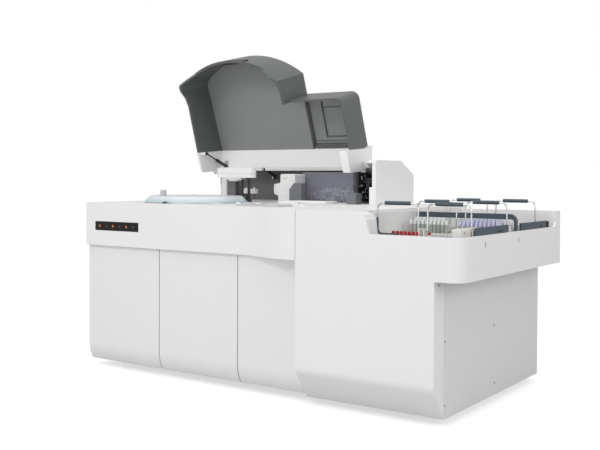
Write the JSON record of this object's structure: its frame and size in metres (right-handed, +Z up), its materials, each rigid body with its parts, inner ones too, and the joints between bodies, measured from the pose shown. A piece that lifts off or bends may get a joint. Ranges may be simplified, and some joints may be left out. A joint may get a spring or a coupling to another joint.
{
  "type": "immunoassay analyzer",
  "caption": "Floor-standing laboratory immunoassay analyser with a tilted-open grey hood over a reagent carousel and pipetting arms, joined to a sample module with bail-handled rack carriers.",
  "frame": {"origin": "centre of the bounding box's footprint on the floor", "axes": "+X to the sample module, -Y front, +Z up"},
  "size_m": [2.193, 1.163, 1.7026],
  "materials": {
    "white_panel": "satin white paint",
    "white_plastic": "satin white moulding",
    "side_panel": "satin off-white paint",
    "frame_steel": "dull grey paint",
    "foot_rubber": "matt",
    "strip_black": "gloss",
    "lamp_amber": "glowing",
    "hood_grey": "satin smoke grey",
    "liner_grey": "satin",
    "smoke_window": "clear smoke",
    "back_grey": "matt",
    "column_grey": "matt",
    "bright_steel": "fine brushed",
    "black_steel": "satin black",
    "cover_clear": "satin",
    "tank_plastic": "translucent",
    "pump_grey": "satin",
    "well_steel": "brushed",
    "pack_white": "satin",
    "hopper_clear": "clear",
    "vessel_clear": "milky",
    "block_grey": "satin",
    "plate_grey": "satin",
    "carrier_cream": "satin",
    "rack_grey": "satin",
    "slate": "satin slate",
    "cap_red": "satin red",
    "bail_chrome": "bright"
  },
  "bodies": {
    "cabinet": {"frame_tubes": "frame_steel", "levelling_feet": "foot_rubber", "front_band": "white_plastic", "lamp_strip": "strip_black", "run_lamps": "lamp_amber", "worktop": "white_plastic", "door_hinges": "bright_steel", "left_side_panel": "side_panel", "rear_panel": "side_panel", "fluid_tanks": "tank_plastic", "pumps_and_supply": "pump_grey", "rear_cover": "white_panel", "bay_back_panel": "back_grey", "service_column": "column_grey", "hinge_beam": "white_panel", "hinge_brackets": "bright_steel", "hinge_pins": "bright_steel", "disk_well": "well_steel", "disk_cover": "cover_clear", "cover_knob": "plate_grey", "arm_guides": "black_steel", "measuring_unit": "white_plastic", "reader_blocks": "block_grey", "vessel_hopper": "hopper_clear", "hopper_vessels": "vessel_clear", "vessel_gantry": "black_steel", "deck_plates": "plate_grey", "tower_cover": "white_plastic", "module_front": "white_plastic", "module_skins": "side_panel", "module_top": "white_plastic", "sample_tray": "white_plastic", "rack_carriers": "carrier_cream", "sample_racks": "rack_grey", "tube_caps": "cap_red", "tray_rails": "slate"},
    "hood": {"hood_shell": "hood_grey", "hood_liner": "liner_grey", "hood_window": "smoke_window", "hood_rear_frame": "white_plastic"},
    "front_strut_tube": {"front_strut_tube": "black_steel"},
    "front_strut_rod": {"front_strut_rod": "black_steel"},
    "rear_strut_tube": {"rear_strut_tube": "black_steel"},
    "rear_strut_rod": {"rear_strut_rod": "black_steel"},
    "door_left": {"door_left": "white_panel"},
    "door_middle": {"door_middle": "white_panel"},
    "door_right": {"door_right": "white_panel"},
    "carousel": {"reagent_carousel": "well_steel", "reagent_packs": "pack_white"},
    "arm_lift": {"arm_post": "black_steel"},
    "arm_swing": {"arm_head": "white_plastic", "arm_probes": "bright_steel"},
    "wash_arm": {"wash_arm": "white_plastic", "wash_post": "black_steel"},
    "bail_one": {"bail_one": "bail_chrome"},
    "bail_two": {"bail_two": "bail_chrome"},
    "bail_three": {"bail_three": "bail_chrome"},
    "bail_four": {"bail_four": "bail_chrome"},
    "bail_five": {"bail_five": "bail_chrome"},
    "bail_six": {"bail_six": "bail_chrome"}
  },
  "joints": [
    {"name": "hood_hinge", "type": "hinge", "parent": "cabinet", "child": "hood", "pos_m": [-0.442, 0.4015, 1.04], "axis": [1, 0, 0], "range_deg": [0, 70.4]},
    {"name": "front_strut_swing", "type": "hinge", "parent": "cabinet", "child": "front_strut_tube", "pos_m": [-0.9125, 0.5465, 1.025], "axis": [1, 0, 0], "range_deg": [0, 40.26]},
    {"name": "front_strut_slide", "type": "slide", "parent": "front_strut_tube", "child": "front_strut_rod", "axis": [0, -0.9304, 0.3666], "range_m": [-0.01295, 0]},
    {"name": "rear_strut_swing", "type": "hinge", "parent": "cabinet", "child": "rear_strut_tube", "pos_m": [-0.6315, 0.5465, 1.01], "axis": [1, 0, 0], "range_deg": [-4.6, 0]},
    {"name": "rear_strut_slide", "type": "slide", "parent": "rear_strut_tube", "child": "rear_strut_rod", "axis": [0, -0.9106, 0.4133], "range_m": [0, 0.05723]},
    {"name": "door_left_hinge", "type": "hinge", "parent": "cabinet", "child": "door_left", "pos_m": [-1.082, -0.4855, 0.34], "axis": [0, 0, -1], "range_deg": [0, 90]},
    {"name": "door_middle_hinge", "type": "hinge", "parent": "cabinet", "child": "door_middle", "pos_m": [-0.57, -0.4855, 0.34], "axis": [0, 0, -1], "range_deg": [0, 90]},
    {"name": "door_right_hinge", "type": "hinge", "parent": "cabinet", "child": "door_right", "pos_m": [-0.068, -0.4855, 0.34], "axis": [0, 0, -1], "range_deg": [0, 90]},
    {"name": "carousel_turn", "type": "hinge", "parent": "cabinet", "child": "carousel", "pos_m": [-0.6445, -0.1485, 0.8], "axis": [0, 0, 1], "continuous": true},
    {"name": "arm_lift_slide", "type": "slide", "parent": "cabinet", "child": "arm_lift", "axis": [0, 0, 1], "range_m": [0, 0.04]},
    {"name": "arm_swing_hinge", "type": "hinge", "parent": "arm_lift", "child": "arm_swing", "pos_m": [-0.4965, 0.1185, 1.003], "axis": [0, 0, -1], "range_deg": [0, 75]},
    {"name": "wash_arm_hinge", "type": "hinge", "parent": "cabinet", "child": "wash_arm", "pos_m": [-0.6685, 0.3185, 0.912], "axis": [0, 0, 1], "range_deg": [0, 60]},
    {"name": "bail_one_swing", "type": "hinge", "parent": "cabinet", "child": "bail_one", "pos_m": [0.7165, -0.4055, 0.786], "axis": [1, 0, 0], "range_deg": [-70, 40]},
    {"name": "bail_two_swing", "type": "hinge", "parent": "cabinet", "child": "bail_two", "pos_m": [0.9565, -0.4055, 0.786], "axis": [1, 0, 0], "range_deg": [-70, 70]},
    {"name": "bail_three_swing", "type": "hinge", "parent": "cabinet", "child": "bail_three", "pos_m": [0.7165, -0.0285, 0.786], "axis": [1, 0, 0], "range_deg": [-20, 70]},
    {"name": "bail_four_swing", "type": "hinge", "parent": "cabinet", "child": "bail_four", "pos_m": [0.9565, -0.0285, 0.786], "axis": [1, 0, 0], "range_deg": [-20, 70]},
    {"name": "bail_five_swing", "type": "hinge", "parent": "cabinet", "child": "bail_five", "pos_m": [0.7165, 0.3215, 0.786], "axis": [1, 0, 0], "range_deg": [-70, 70]},
    {"name": "bail_six_swing", "type": "hinge", "parent": "cabinet", "child": "bail_six", "pos_m": [0.9565, 0.3215, 0.786], "axis": [1, 0, 0], "range_deg": [-70, 70]}
  ],
  "couplings": [
    {"joint": "front_strut_swing", "follows": "hood_hinge", "ratio": 0.56065},
    {"joint": "front_strut_slide", "follows": "hood_hinge", "m_per_rad": -0.010235},
    {"joint": "rear_strut_swing", "follows": "hood_hinge", "ratio": -0.06403},
    {"joint": "rear_strut_slide", "follows": "hood_hinge", "m_per_rad": 0.045222}
  ]
}
